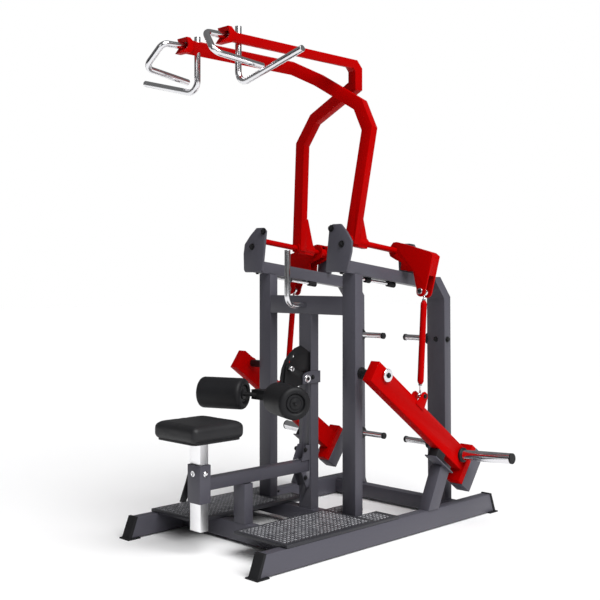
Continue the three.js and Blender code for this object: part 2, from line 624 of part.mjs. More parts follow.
// Release lever for the seat height, hung on a stud on the side of the sleeve.
const seatLever = cut(join(
  rod(15, [-46, SEAT_POST_Y, 352], [-56, SEAT_POST_Y, 352], 16),
  bar(rectangle(8, 32), [[-51, SEAT_POST_Y, 352], [-58, 80, 310], [-84, 66, 218]], [0, 1, 0])),
rod(7 + GAP, [-30, SEAT_POST_Y, 352], [-70, SEAT_POST_Y, 352], 12));
place('seat_release_lever', seatLever, blackPlastic);

// ---------- thigh rollers ----------
const [rollerPivotY, rollerPivotZ] = ROLLER_PIVOT;
const ADJUST_RADIUS = 132;
const ADJUST_ANGLE = 155;
const ADJUST_STEP = 15;
const CROSS_TUBE = [488, 652];

function adjustPoint(degrees) {
  const angle = THREE.MathUtils.degToRad(degrees);
  return [rollerPivotY + ADJUST_RADIUS * Math.cos(angle), rollerPivotZ + ADJUST_RADIUS * Math.sin(angle)];
}

// Clamp round the centre upright, with ears for the pivot and a drilled sector for the height setting.
function rollerBracket() {
  const ear = [[676, 692], [792, 692], [792, 748], [720, 748], [690, 742], [676, 728]];
  const ears = [plateAcross(ear, -46.5, -40 - GAP), plateAcross(ear, 40 + GAP, 46.5)];
  const back = block([-46.5, 786 + GAP, 692], [46.5, 793, 748]);
  const sector = [[736 - GAP, 746], [736 - GAP, 838]];
  for (let step = 0; step <= 6; step += 1) {
    const angle = THREE.MathUtils.degToRad(100 + step * ADJUST_STEP);
    sector.push([rollerPivotY + 160 * Math.cos(angle), rollerPivotZ + 160 * Math.sin(angle)]);
  }
  sector.push([rollerPivotY - 50, rollerPivotZ + 2], [rollerPivotY - 20, rollerPivotZ + 36]);
  const sectorPlate = plateAcross(sector, 24, 31);
  const foot = block([24, 729, 746], [44, 736 - GAP, 838]);
  const holes = [-2, -1, 0, 1].map((step) => {
    const [y, z] = adjustPoint(ADJUST_ANGLE + step * ADJUST_STEP);
    return rod(6, [10, y, z], [60, y, z], 12);
  });
  const axle = rod(8, [-52, rollerPivotY, rollerPivotZ], [52, rollerPivotY, rollerPivotZ], 16);
  return cut(join(...ears, back, sectorPlate, foot, axle), ...holes);
}

const rollerAxis = (side) => new THREE.Vector3(side * (ROLLER_OUTER[0] - ROLLER_INNER[0]),
  ROLLER_OUTER[1] - ROLLER_INNER[1], 0);
const ROLLER_LENGTH = rollerAxis(1).length();
const ROLLER_RECESS = 14;

function onRollerAxis(side, distance) {
  return rollerAxis(side).setLength(distance)
    .add(new THREE.Vector3(side * ROLLER_INNER[0], ROLLER_INNER[1], ROLLER_Z)).toArray();
}

// Swinging yoke: hub on the bracket's axle, arm, cross tube, and a spindle for each roller.
function rollerYoke() {
  const hub = rod(24, [-39.5, rollerPivotY, rollerPivotZ], [39.5, rollerPivotY, rollerPivotZ], 24);
  const armBar = bar(rectangle(44, 46), [[0, rollerPivotY, rollerPivotZ], [0, ...CROSS_TUBE]], [0, 0, 1]);
  const crossTube = bar(rectangle(45, 45), [[-82, ...CROSS_TUBE], [82, ...CROSS_TUBE]], [0, 0, 1]);
  const [pinY, pinZ] = adjustPoint(ADJUST_ANGLE);
  const cheek = plateAcross([[rollerPivotY - 8, rollerPivotZ - 22], [rollerPivotY + 20, rollerPivotZ],
    [rollerPivotY - 4, rollerPivotZ + 22], [pinY + 10, pinZ + 17], [pinY - 14, pinZ + 12], [pinY - 18, pinZ - 10],
    [rollerPivotY - 150, rollerPivotZ - 50]].reverse(), 20, 39.5);
  const clear = plateAcross([[rollerPivotY - 16, rollerPivotZ + 60], [rollerPivotY - 16, rollerPivotZ - 30],
    [rollerPivotY - 300, rollerPivotZ - 120], [rollerPivotY - 300, rollerPivotZ + 180]], 22 + GAP, 32);
  const housing = rod(11, [34, pinY, pinZ], [52, pinY, pinZ], 16);
  const spindles = [1, -1].flatMap((side) => [
    rod(10, onRollerAxis(side, -62), onRollerAxis(side, ROLLER_LENGTH - 3), 16),
    rod(24, onRollerAxis(side, ROLLER_RECESS - 9), onRollerAxis(side, ROLLER_RECESS - 1), 20),
    rod(24, onRollerAxis(side, ROLLER_LENGTH - ROLLER_RECESS + 1), onRollerAxis(side, ROLLER_LENGTH - 5), 20)]);
  const cheekPlate = geometryOf(solid(cut(cheek, clear)));
  return cut(join(hub, armBar, crossTube, cheekPlate, housing, ...spindles),
    rod(8 + GAP, [-60, rollerPivotY, rollerPivotZ], [60, rollerPivotY, rollerPivotZ], 16),
    rod(5 + GAP, [32, pinY, pinZ], [60, pinY, pinZ], 12));
}

function roller(side) {
  const length = ROLLER_LENGTH;
  const recess = ROLLER_RECESS;
  const profile = [[11.5, recess], [11.5, length - recess], [42, length - recess], [46, length], [60, length],
    [69, length - 4], [ROLLER_RADIUS, length - 13], [ROLLER_RADIUS, 13], [69, 4], [60, 0], [46, 0], [42, recess],
    [11.5, recess]].reverse();
  return turned(profile, onRollerAxis(side, 0), rollerAxis(side).toArray(), 22);
}

const [popY, popZ] = adjustPoint(ADJUST_ANGLE);
place('roller_bracket', rollerBracket(), charcoalPaint);
place('roller_yoke', rollerYoke(), blackPlastic);
place('roller_right', roller(1), blackRubber);
place('roller_left', roller(-1), blackRubber);
place('roller_pop_pin', turned([[0, 0], [5, 0], [5, 19.5], [13, 20], [13, 34], [10, 37], [0, 37]],
  [32.6, popY, popZ], [1, 0, 0], 16), chrome);

// ---------- origin: middle of the footprint, on the floor ----------
machine.updateMatrixWorld(true);
const extent = new THREE.Box3().setFromObject(machine, true);
machine.position.set(-(extent.min.x + extent.max.x) / 2, -(extent.min.y + extent.max.y) / 2, -extent.min.z);

export default machine;
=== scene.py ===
# Plate-loaded lat pulldown machine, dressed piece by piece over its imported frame. Lengths are in metres.
import math
import json
import bpy
from mathutils import Matrix, Vector

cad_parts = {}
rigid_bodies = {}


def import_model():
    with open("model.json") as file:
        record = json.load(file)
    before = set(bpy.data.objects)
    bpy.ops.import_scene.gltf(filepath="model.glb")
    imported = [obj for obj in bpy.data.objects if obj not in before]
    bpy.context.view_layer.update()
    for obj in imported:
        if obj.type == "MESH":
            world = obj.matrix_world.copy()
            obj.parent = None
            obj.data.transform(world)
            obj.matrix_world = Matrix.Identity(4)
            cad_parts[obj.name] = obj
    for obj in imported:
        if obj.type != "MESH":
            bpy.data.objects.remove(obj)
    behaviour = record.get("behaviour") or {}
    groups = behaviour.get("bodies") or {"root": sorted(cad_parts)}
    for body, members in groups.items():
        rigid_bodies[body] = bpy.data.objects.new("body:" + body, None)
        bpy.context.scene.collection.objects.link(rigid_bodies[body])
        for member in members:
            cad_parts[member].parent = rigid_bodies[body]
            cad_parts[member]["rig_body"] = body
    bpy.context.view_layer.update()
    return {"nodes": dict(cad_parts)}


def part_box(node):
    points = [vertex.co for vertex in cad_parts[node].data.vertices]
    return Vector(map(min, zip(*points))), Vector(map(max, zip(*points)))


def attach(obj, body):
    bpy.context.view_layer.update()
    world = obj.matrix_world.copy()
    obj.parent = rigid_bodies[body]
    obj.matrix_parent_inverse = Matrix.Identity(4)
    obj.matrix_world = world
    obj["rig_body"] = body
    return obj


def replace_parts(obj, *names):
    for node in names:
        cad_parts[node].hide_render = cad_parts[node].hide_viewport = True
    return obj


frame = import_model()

# ---------- studio ----------
# A plain pale floor under a broad soft sun from the machine's right, in a dim white room.
# Dark cards in front keep the left side of every tube in shade and give the chrome something to mirror.
scene = bpy.context.scene
scene.view_settings.view_transform = "Standard"
bpy.ops.object.select_all(action="DESELECT")
bpy.ops.mesh.primitive_plane_add(size=60, location=(0, 0, 0))
floor = bpy.context.object
floor.name = "floor"
floor_paint = bpy.data.materials.new("floor_paint")
floor_paint.use_nodes = True
floor_coat = floor_paint.node_tree.nodes["Principled BSDF"]
floor_coat.inputs["Base Color"].default_value = (0.93, 0.93, 0.935, 1)
floor_coat.inputs["Roughness"].default_value = 0.9
floor.data.materials.append(floor_paint)

card_paint = bpy.data.materials.new("card_paint")
card_paint.use_nodes = True
card_paint.node_tree.nodes["Principled BSDF"].inputs["Base Color"].default_value = (0.05, 0.05, 0.055, 1)
card_height = 4.5
cards = (("card_front", (-1.5, -7.0, 2.0), 0, 7.0), ("card_behind", (7.5, -5.5, 1.0), 52, 2.2))
for card_name, middle, turn, wide in cards:
    bpy.ops.mesh.primitive_plane_add(size=1, location=middle, rotation=(math.pi / 2, 0, math.radians(turn)))
    card = bpy.context.object
    card.name = card_name
    card.scale = (wide, card_height, 1)
    card.data.materials.append(card_paint)

world = bpy.data.worlds.new("studio")
scene.world = world
world.use_nodes = True
room = world.node_tree
dim_room = room.nodes["Background"]
dim_room.inputs["Strength"].default_value = 0.16
white_wall = room.nodes.new("ShaderNodeBackground")
white_wall.inputs["Color"].default_value = (1, 1, 1, 1)
dim_room.inputs["Color"].default_value = (1, 1, 1, 1)
seen_directly = room.nodes.new("ShaderNodeLightPath")
either = room.nodes.new("ShaderNodeMixShader")
room.links.new(seen_directly.outputs["Is Camera Ray"], either.inputs["Fac"])
room.links.new(dim_room.outputs["Background"], either.inputs[1])
room.links.new(white_wall.outputs["Background"], either.inputs[2])
room.links.new(either.outputs["Shader"], room.nodes["World Output"].inputs["Surface"])

bpy.ops.object.light_add(type="SUN", location=(5, 0, 5))
sun = bpy.context.object
sun.name = "soft_sun"
sun.data.energy = 4.1
sun.data.angle = math.radians(52)
sun.rotation_euler = Vector((-1.0, 0.12, -1.15)).to_track_quat("-Z", "Y").to_euler()
bpy.ops.object.light_add(type="AREA", location=(1.5, -4.5, 3.5))
fill = bpy.context.object
fill.name = "front_fill"
fill.data.size = 1.2
fill.data.energy = 9
fill.rotation_euler = (Vector((0, 0, 1.2)) - fill.location).to_track_quat("-Z", "Y").to_euler()

bpy.ops.object.camera_add(location=(3.332, -3.4315, 1.2), rotation=(math.pi / 2, 0, math.radians(45)))
camera = bpy.context.object
camera.data.sensor_width = 36
camera.data.lens = 59.67
camera.data.shift_y = -0.0405
scene.camera = camera


# ---------- charcoal frame ----------
# Welded box tubes: floor rails, cross beams, uprights and top beams. They are coated in satin charcoal
# powder, with a fine orange peel and rounded corners.
class Reading:
    """A shader socket that takes part in sums."""

    def __init__(self, finish, socket):
        self.finish = finish
        self.socket = socket

    def _with(self, operation, first, second):
        return self.finish.node("ShaderNodeMath", {"operation": operation}, {0: first, 1: second})

    def __add__(self, other):
        return self._with("ADD", self, other)

    def __mul__(self, other):
        return self._with("MULTIPLY", self, other)

    __radd__ = __add__
    __rmul__ = __mul__


class Finish:
    """One procedural surface finish, read in object coordinates."""

    def __init__(self, name, **fixed):
        self.material = bpy.data.materials.new(name)
        self.material.use_nodes = True
        self.tree = self.material.node_tree
        self.surface = self.tree.nodes["Principled BSDF"]
        for socket, value in fixed.items():
            self.surface.inputs[socket.replace("_", " ")].default_value = value
        self.place = self.node("ShaderNodeTexCoord", {}, {}, "Object")

    def node(self, kind, settings, sockets, out=0):
        made = self.tree.nodes.new(kind)
        for setting, value in settings.items():
            setattr(made, setting, value)
        for socket, value in sockets.items():
            if isinstance(value, Reading):
                self.tree.links.new(value.socket, made.inputs[socket])
            else:
                made.inputs[socket].default_value = value
        return Reading(self, made.outputs[out])

    def noise(self, scale, detail=3.0, roughness=0.55, stretch=None):
        place = self.place
        if stretch:
            place = self.node("ShaderNodeMapping", {}, {"Vector": place, "Scale": stretch})
        sockets = {"Vector": place, "Scale": scale, "Detail": detail, "Roughness": roughness}
        return self.node("ShaderNodeTexNoise", {}, sockets, "Fac")

    def ramp(self, value, low, high):
        return self.node("ShaderNodeMapRange", {}, {"Value": value, "From Min": low, "From Max": high})

    def mix(self, mask, first, second):
        return self.node("ShaderNodeMix", {"data_type": "RGBA"}, {0: mask, 6: first, 7: second}, 2)

    def feed(self, **links):
        for socket, value in links.items():
            self.tree.links.new(value.socket, self.surface.inputs[socket.replace("_", " ")])
        return self

    def relief(self, height, strength, distance):
        sockets = {"Height": height, "Strength": strength, "Distance": distance}
        return self.feed(Normal=self.node("ShaderNodeBump", {}, sockets, "Normal"))


def lighter(colour, factor, lift=0.0):
    """The same colour, multiplied and lifted, with its alpha kept at one."""
    return tuple(min(1.0, c * factor + lift) for c in colour[:3]) + (1,)


def powder_coat(name, colour, worn, roughness, sheen=0.25):
    """Powder coat: orange peel, soft cloudy change in sheen, and a few pale rubbed scratches."""
    finish = Finish(name, Specular_IOR_Level=sheen)
    clouds = finish.noise(5.0, 4.0)
    peel = finish.noise(520.0, 2.0)
    rubs = finish.ramp(finish.noise(60.0, 5.0, 0.7, (1.0, 1.0, 0.16)), 0.66, 0.78)
    tone = finish.mix(clouds * 0.5, colour, lighter(colour, 1.25))
    finish.feed(Base_Color=finish.mix(rubs * 0.35, tone, worn))
    finish.feed(Roughness=finish.ramp(clouds, 0.2, 0.9) * 0.14 + (roughness - 0.06) + rubs * 0.08)
    return finish.relief(peel + clouds * 0.4, 0.10, 0.0006)


charcoal = powder_coat("charcoal_powder_coat", (0.068, 0.066, 0.082, 1), (0.18, 0.18, 0.19, 1), 0.40, 0.32)


def finish_on(piece, finish):
    piece.data.materials.clear()
    piece.data.materials.append(finish.material)


def eased(node, width, finish, segments=2, angle=30):
    """A copy of a machined or welded part with its sharp corners rounded, standing for the plain one."""
    plain = frame["nodes"][node]
    piece = plain.copy()
    piece.data = plain.data.copy()
    piece.parent = None
    for key in list(piece.keys()):
        del piece[key]
    piece.name = node + "_finished"
    scene.collection.objects.link(piece)
    bpy.ops.object.select_all(action="DESELECT")
    bpy.context.view_layer.objects.active = piece
    piece.select_set(True)
    bpy.ops.object.mode_set(mode="EDIT")
    bpy.ops.mesh.select_all(action="SELECT")
    bpy.ops.mesh.remove_doubles(threshold=0.00002)
    bpy.ops.mesh.dissolve_limited(angle_limit=math.radians(0.6))
    bpy.ops.object.mode_set(mode="OBJECT")
    if width:
        round_off = piece.modifiers.new("round_off", "BEVEL")
        round_off.width = width
        round_off.segments = segments
        round_off.limit_method = "ANGLE"
        round_off.angle_limit = math.radians(angle)
        round_off.use_clamp_overlap = True
        round_off.harden_normals = False
        bpy.ops.object.modifier_apply(modifier=round_off.name)
    bpy.ops.object.shade_smooth_by_angle(angle=math.radians(35))
    finish_on(piece, finish)
    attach(piece, plain["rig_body"])
    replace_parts(piece, node)
    return piece


for hand in ("right", "left"):
    for node in ("base_rail", "upright", "rear_upright", "top_beam", "bumper_post", "shaft_plate_front"):
        eased(f"{node}_{hand}", 0.0035, charcoal)

# The centre upright carries thin gussets, too thin to round over, so it keeps its square edges.
eased("upright_centre", 0, charcoal)
for node in ("front_cross_beam", "middle_cross_beam", "rear_cross_beam", "upper_cross_beam", "seat_beam",
             "seat_support_post", "roller_bracket"):
    eased(node, 0.003, charcoal)


# ---------- red arms, cranks, shafts and weight levers ----------
# Bent box-tube arms, plate cranks and heavy levers in bright red gloss powder coat. The round shafts
# that carry them are painted with them.
red = powder_coat("red_powder_coat", (0.37, 0.0003, 0.0003, 1), (0.50, 0.012, 0.010, 1), 0.40, 0.03)
for hand in ("right", "left"):
    eased(f"arm_{hand}", 0.004, red)
    eased(f"weight_lever_{hand}", 0.004, red)
    eased(f"crank_{hand}", 0.0015, red)
    eased(f"shaft_{hand}", 0.001, red)


# ---------- chrome grips and handle ----------
# Bent round tubes with polished chrome plate, and closed ends with eased rims. Two grips are fixed to each
# arm: the wide one stands through the arm's tip, the parallel one comes out of its mouth.
def chrome_plate(name, tint, roughness):
    """Polished plate: clean mirror with faint polishing lines and a few dull fingermarks."""
    finish = Finish(name, Metallic=1.0)
    lines = finish.noise(240.0, 3.0, 0.6, (1.0, 1.0, 0.1))
    smears = finish.ramp(finish.noise(9.0, 3.0), 0.55, 0.8)
    finish.feed(Base_Color=finish.mix(smears * 0.5, tint, lighter(tint, 0.86)))
    finish.feed(Roughness=lines * 0.08 + smears * 0.10 + (roughness - 0.04))
    return finish.relief(lines, 0.05, 0.0003)


chrome = chrome_plate("chrome_plate", (0.80, 0.80, 0.82, 1), 0.16)
front_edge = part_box("end_cap_front_right")[0].y


def at(x, y, z):
    """A place given in millimetres across, back from the feet's front edge, and up."""
    return Vector((x / 1000, front_edge + y / 1000, z / 1000))


def fillet(corners, radius, chords=8):
    """The corners of a bent tube's centre line, each swept into an arc."""
    path = [corners[0]]
    for before, corner, after in zip(corners, corners[1:], corners[2:]):
        back, on = (before - corner).normalized(), (after - corner).normalized()
        half = back.angle(on) / 2
        reach = radius / math.tan(half)
        centre = corner + (back + on).normalized() * math.hypot(radius, reach)
        start, end = corner + back * reach, corner + on * reach
        for step in range(chords + 1):
            path.append(centre + (start.lerp(end, step / chords) - centre).normalized() * radius)
    return path + [corners[-1]]


def bent_tube(name, corners, bend, radius, body, finish):
    """A round tube swept along a bent centre line, with its ends closed and eased."""
    path = fillet(corners, bend)
    line = bpy.data.curves.new(name, "CURVE")
    line.dimensions = "3D"
    line.bevel_depth = radius
    line.bevel_resolution = 6
    line.use_fill_caps = True
    run = line.splines.new("POLY")
    run.points.add(len(path) - 1)
    for point, place in zip(run.points, path):
        point.co = (*place, 1)
    tube = bpy.data.objects.new(name, line)
    scene.collection.objects.link(tube)
    bpy.ops.object.select_all(action="DESELECT")
    tube.select_set(True)
    bpy.context.view_layer.objects.active = tube
    bpy.ops.object.convert(target="MESH")
    tube = bpy.context.object
    bpy.ops.object.mode_set(mode="EDIT")
    bpy.ops.mesh.select_all(action="SELECT")
    bpy.ops.mesh.remove_doubles(threshold=0.00001)
    bpy.ops.mesh.normals_make_consistent(inside=False)
    bpy.ops.object.mode_set(mode="OBJECT")
    rim = tube.modifiers.new("rim", "BEVEL")
    rim.width = 0.003
    rim.segments = 3
    rim.limit_method = "ANGLE"
    rim.angle_limit = math.radians(50)
    bpy.ops.object.modifier_apply(modifier=rim.name)
    bpy.ops.object.shade_smooth_by_angle(angle=math.radians(40))
    finish_on(tube, finish)
    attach(tube, body)
    return tube


# The arms cross, so the arm on the right-hand shaft carries its grips left of the middle.
grip_radius = 0.014
arm_top, tip_x, tip_y = 2215, 138, 191
for hand, side in (("right", -1), ("left", 1)):
    corners = [at(side * tip_x, tip_y, arm_top + 51.5), at(side * tip_x, tip_y, 2012),
               at(side * (tip_x + 388), tip_y, 2111)]
    wide = bent_tube(f"wide_grip_{hand}_tube", corners, 0.048, grip_radius, f"{hand}_arm", chrome)
    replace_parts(wide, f"wide_grip_{hand}")
    corners = [at(side * tip_x, 147, arm_top), at(side * (tip_x + 6), 4, arm_top - 4),
               at(side * (tip_x + 94), -26, 2112), at(side * (tip_x + 114), 228.5, 2085)]
    parallel = bent_tube(f"parallel_grip_{hand}_tube", corners, 0.034, grip_radius, f"{hand}_arm", chrome)
    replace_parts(parallel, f"parallel_grip_{hand}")
corners = [at(0, 735.5, 1061), at(0, 619, 1061), at(0, 619, 1320)]
centre = bent_tube("centre_handle_tube", corners, 0.045, grip_radius, "frame", chrome)
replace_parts(centre, "centre_handle")


# ---------- black parts, and the balance blocks ----------
# Moulded rubber feet and bumper pads, a plastic release lever, and black painted steel for the lever
# bearings, the roller yoke and the bracket's sector. The balance blocks match the frame.
def moulded(name, colour, roughness, grain_size, depth):
    """Moulded rubber or plastic: fine grain, a dusty bloom that comes and goes, dull sheen."""
    finish = Finish(name, Specular_IOR_Level=0.22)
    bloom = finish.noise(11.0, 4.0)
    grain = finish.noise(grain_size, 2.0, 0.6)
    finish.feed(Base_Color=finish.mix(bloom, colour, lighter(colour, 1.8, 0.002)))
    finish.feed(Roughness=bloom * 0.16 + (roughness - 0.08))
    return finish.relief(grain, 0.25, depth)


rubber = moulded("moulded_rubber", (0.007, 0.007, 0.008, 1), 0.66, 900.0, 0.0004)
black_steel = powder_coat("black_powder_coat", (0.008, 0.008, 0.009, 1), (0.06, 0.06, 0.06, 1), 0.40)
black_plastic = moulded("black_plastic", (0.007, 0.007, 0.008, 1), 0.45, 700.0, 0.0002)
for hand in ("right", "left"):
    eased(f"end_cap_front_{hand}", 0.0015, rubber)
    eased(f"end_cap_rear_{hand}", 0.0015, rubber)
    eased(f"bumper_pad_{hand}", 0.005, rubber, 3)
    eased(f"lever_bearing_{hand}", 0.001, black_steel)
    eased(f"balance_block_{hand}", 0.004, charcoal, 3)
eased("roller_yoke", 0.0015, black_steel)

# The bracket's drilled sector is black, between these two planes and in front of the upright.
sector_inner, sector_outer, upright_face = 0.0235, 0.0395, front_edge + 0.736
bracket = bpy.data.objects["roller_bracket_finished"]
bracket.data.materials.append(black_steel.material)
for face in bracket.data.polygons:
    middle = bracket.matrix_world @ face.center
    if sector_inner < middle.x < sector_outer and middle.y < upright_face:
        face.material_index = 1
eased("seat_release_lever", 0.0025, black_plastic, 3)


# ---------- bolts and washers ----------
# Black hexagon bolts with thick washers hold the frame together and close the pivots. One bolt is
# modelled for each group, then copied to every place.
def grown(name, profile, sides=32):
    """A round piece grown ring by ring: each (radius, height) extrudes the last face and scales it."""
    bpy.ops.object.select_all(action="DESELECT")
    radius, height = profile[0]
    bpy.ops.mesh.primitive_circle_add(vertices=sides, radius=radius, fill_type="NGON", location=(0, 0, 0))
    piece = bpy.context.object
    piece.name = name
    bpy.ops.object.mode_set(mode="EDIT")
    bpy.ops.mesh.select_all(action="SELECT")
    bpy.ops.transform.translate(value=(0, 0, height))
    for new_radius, new_height in profile[1:]:
        bpy.ops.mesh.extrude_region_move(TRANSFORM_OT_translate={"value": (0, 0, new_height - height)})
        scale = new_radius / radius
        bpy.ops.transform.resize(value=(scale, scale, 1), center_override=(0, 0, new_height))
        radius, height = new_radius, new_height
    bpy.ops.mesh.select_all(action="SELECT")
    bpy.ops.mesh.normals_make_consistent(inside=False)
    bpy.ops.object.mode_set(mode="OBJECT")
    return piece


def facing(foot, direction):
    """The placement that stands a piece on a face, pointing along its normal."""
    turn = Vector((0, 0, 1)).rotation_difference(Vector(direction)).to_matrix().to_4x4()
    return Matrix.Translation(foot) @ turn


def joined(name, pieces, body, finish):
    bpy.ops.object.select_all(action="DESELECT")
    for piece in pieces:
        piece.select_set(True)
    bpy.context.view_layer.objects.active = pieces[0]
    if len(pieces) > 1:
        bpy.ops.object.join()
    whole = bpy.context.object
    whole.name = name
    bpy.ops.object.shade_smooth_by_angle(angle=math.radians(35))
    finish_on(whole, finish)
    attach(whole, body)
    return whole


def bolt_pattern(across):
    """A bolt standing on z = 0: a washer, a six-sided head with a chamfer, and a recess in its top."""
    r = across / 2
    washer = grown("washer", [(r * 1.45, -0.0005), (r * 1.5, 0.0002), (r * 1.5, r * 0.22),
                              (r * 1.42, r * 0.3)], 24)
    head = grown("head", [(r, r * 0.2), (r * 1.06, r * 0.3), (r * 1.06, r * 0.95), (r * 0.9, r * 1.12)], 6)
    socket = grown("socket", [(r * 0.5, r * 1.05), (r * 0.5, r * 1.13), (r * 0.42, r * 1.2),
                              (r * 0.3, r * 1.14)], 12)
    bpy.ops.object.select_all(action="DESELECT")
    for piece in (washer, head, socket):
        piece.select_set(True)
    bpy.context.view_layer.objects.active = washer
    bpy.ops.object.join()
    return bpy.context.object


def fasten(name, body, across, places):
    pattern = bolt_pattern(across)
    copies = []
    for foot, direction in places:
        copy = pattern.copy()
        copy.data = pattern.data.copy()
        scene.collection.objects.link(copy)
        copy.data.transform(facing(foot, direction))
        copies.append(copy)
    bpy.data.objects.remove(pattern)
    return joined(name, copies, body, black_steel)


tilt = math.radians(7.2)
shaft_run = Vector((0, math.cos(tilt), -math.sin(tilt)))
shaft_up = Vector((0, math.sin(tilt), math.cos(tilt)))


def on_shaft(side, x, along, up):
    """A place beside a shaft: across from its axis, along it from the front plate, and square above it."""
    return at(side * (262 + x), 672, 1374) + shaft_run * along / 1000 + shaft_up * up / 1000


peg_heights = {"upper": 882, "lower": 353}


def rear_upright_middle(z):
    """How far back the middle of a leaning rear upright stands at a height."""
    return 1409 - z * 0.01


plate_bolts, beam_bolts, peg_bolts, bearing_bolts, rear_bolts = [], [], [], [], []
for side in (1, -1):
    out = Vector((side, 0, 0))
    plate_bolts += [(on_shaft(side, 37, 0, -32), -shaft_run), (on_shaft(side, -36, 0, 42), -shaft_run)]
    beam_bolts += [(on_shaft(side, 19, along, -155.2), -shaft_up) for along in (34, 150, 360)]
    bearing_bolts += [(on_shaft(side, x, 512, up), shaft_run) for x, up in ((40, -20), (-22, -20), (40, -78))]
    peg_bolts += [(at(side * 341, rear_upright_middle(z), z), out) for z in peg_heights.values()]
    beam_bolts += [(at(side * 30, 707, z), out) for z in (378, 246)]
    beam_bolts += [(at(side * 46.5, 740, 720), out)]
    z = peg_heights["upper"]
    rear_bolts += [(at(side * 286, rear_upright_middle(z) - 19.6, z), Vector((0, -1, 0)))]
fasten("front_plate_bolts", "frame", 0.022, plate_bolts)
fasten("beam_bolts", "frame", 0.015, beam_bolts)
fasten("rear_bearing_bolts", "frame", 0.016, bearing_bolts)
fasten("peg_bolts", "frame", 0.020, peg_bolts)
fasten("rear_upright_bolts", "frame", 0.018, rear_bolts)


# ---------- thigh rollers ----------
# Two foam rollers under black rubber skin on the yoke's spindles. The rim is rounded over, and each end
# has a stepped recess with a moulded ring and a dark end plate held by one bolt.
roller_start, roller_end = at(107, 449, 652), at(315, 362, 652)
roller_long = (roller_end - roller_start).length
roller_skin = moulded("roller_skin", (0.006, 0.006, 0.007, 1), 0.52, 620.0, 0.0005)
# Half of the roller's outline: out of the recess, over the rim and onto the straight part.
near_half = [(0.0125, 0.013), (0.040, 0.013), (0.0425, 0.011), (0.0445, 0.003), (0.048, 0.0006), (0.052, 0.0),
             (0.058, 0.0006), (0.0645, 0.003), (0.0690, 0.0066), (0.0718, 0.0115), (0.0729, 0.017),
             (0.0730, 0.030)]
far_half = [(radius, roller_long - depth) for radius, depth in reversed(near_half)]
seated = 0.0125
for hand, side in (("right", 1), ("left", -1)):
    foot = Vector((side * roller_start.x, roller_start.y, roller_start.z))
    run = Vector((side * (roller_end - roller_start).x, (roller_end - roller_start).y, 0)).normalized()
    skin = grown(f"roller_{hand}_skin", near_half + far_half, 56)
    skin.data.transform(facing(foot, run))
    skin = joined(f"roller_{hand}_skin", [skin], f"{hand}_roller", roller_skin)
    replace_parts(skin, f"roller_{hand}")
    ends = []
    for end, sense in ((foot + run * seated, -run), (foot + run * (roller_long - seated), run)):
        plate = grown("end_plate", [(0.038, -0.0005), (0.038, 0.003), (0.036, 0.0045), (0.030, 0.0045),
                                    (0.029, 0.0028), (0.024, 0.0028), (0.023, 0.0045), (0.016, 0.0055),
                                    (0.0135, 0.0055)], 40)
        plate.data.transform(facing(end, sense))
        ends.append(plate)
    joined(f"roller_{hand}_end_plates", ends, f"{hand}_roller", black_plastic)
    fasten(f"roller_{hand}_bolt", "yoke", 0.015, [(foot + run * (roller_long - 0.0048), run)])


# ---------- seat ----------
# A square block of upholstery foam in grained black vinyl, pulled over a thin board and screwed to the
# plate on the seat post. The cover is crowned, and its corners are drawn in.
seat_low, seat_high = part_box("seat_pad")
seat_middle = (seat_low + seat_high) / 2
half = (seat_high.x - seat_low.x) / 2


def slab(name, low, high, corner, rim, rim_steps=3):
    """A flat block with rounded corners in plan, and a smaller rounding round its faces."""
    bpy.ops.object.select_all(action="DESELECT")
    bpy.ops.mesh.primitive_cube_add(size=1, location=(low + high) / 2)
    block = bpy.context.object
    block.name = name
    block.scale = high - low
    bpy.ops.object.transform_apply(location=True, rotation=True, scale=True)
    bpy.ops.object.mode_set(mode="EDIT")
    bpy.ops.mesh.select_all(action="DESELECT")
    bpy.ops.object.mode_set(mode="OBJECT")
    for edge in block.data.edges:
        first, second = (block.data.vertices[v].co for v in edge.vertices)
        edge.select = abs(first.z - second.z) > 0.5 * (high.z - low.z)
    bpy.ops.object.mode_set(mode="EDIT")
    bpy.ops.mesh.select_mode(type="EDGE")
    if corner:
        bpy.ops.mesh.bevel(offset=corner, segments=6, affect="EDGES")
    bpy.ops.object.mode_set(mode="OBJECT")
    soften = block.modifiers.new("rim", "BEVEL")
    soften.width = rim
    soften.segments = rim_steps
    soften.limit_method = "ANGLE"
    soften.angle_limit = math.radians(50)
    bpy.ops.object.modifier_apply(modifier=soften.name)
    return block


vinyl = Finish("grained_vinyl", Specular_IOR_Level=0.32)
grain = {"Vector": vinyl.place, "Scale": 420.0}
hide = vinyl.node("ShaderNodeTexVoronoi", {"feature": "DISTANCE_TO_EDGE"}, grain)
creases = vinyl.noise(26.0, 4.0, 0.6)
sheen = vinyl.noise(7.0, 3.0)
vinyl.feed(Base_Color=vinyl.mix(sheen, (0.008, 0.008, 0.009, 1), (0.018, 0.018, 0.020, 1)))
vinyl.feed(Roughness=sheen * 0.18 + 0.36)
vinyl.relief(vinyl.ramp(hide, 0.0, 0.12) * 0.5 + creases * 0.8, 0.28, 0.0008)

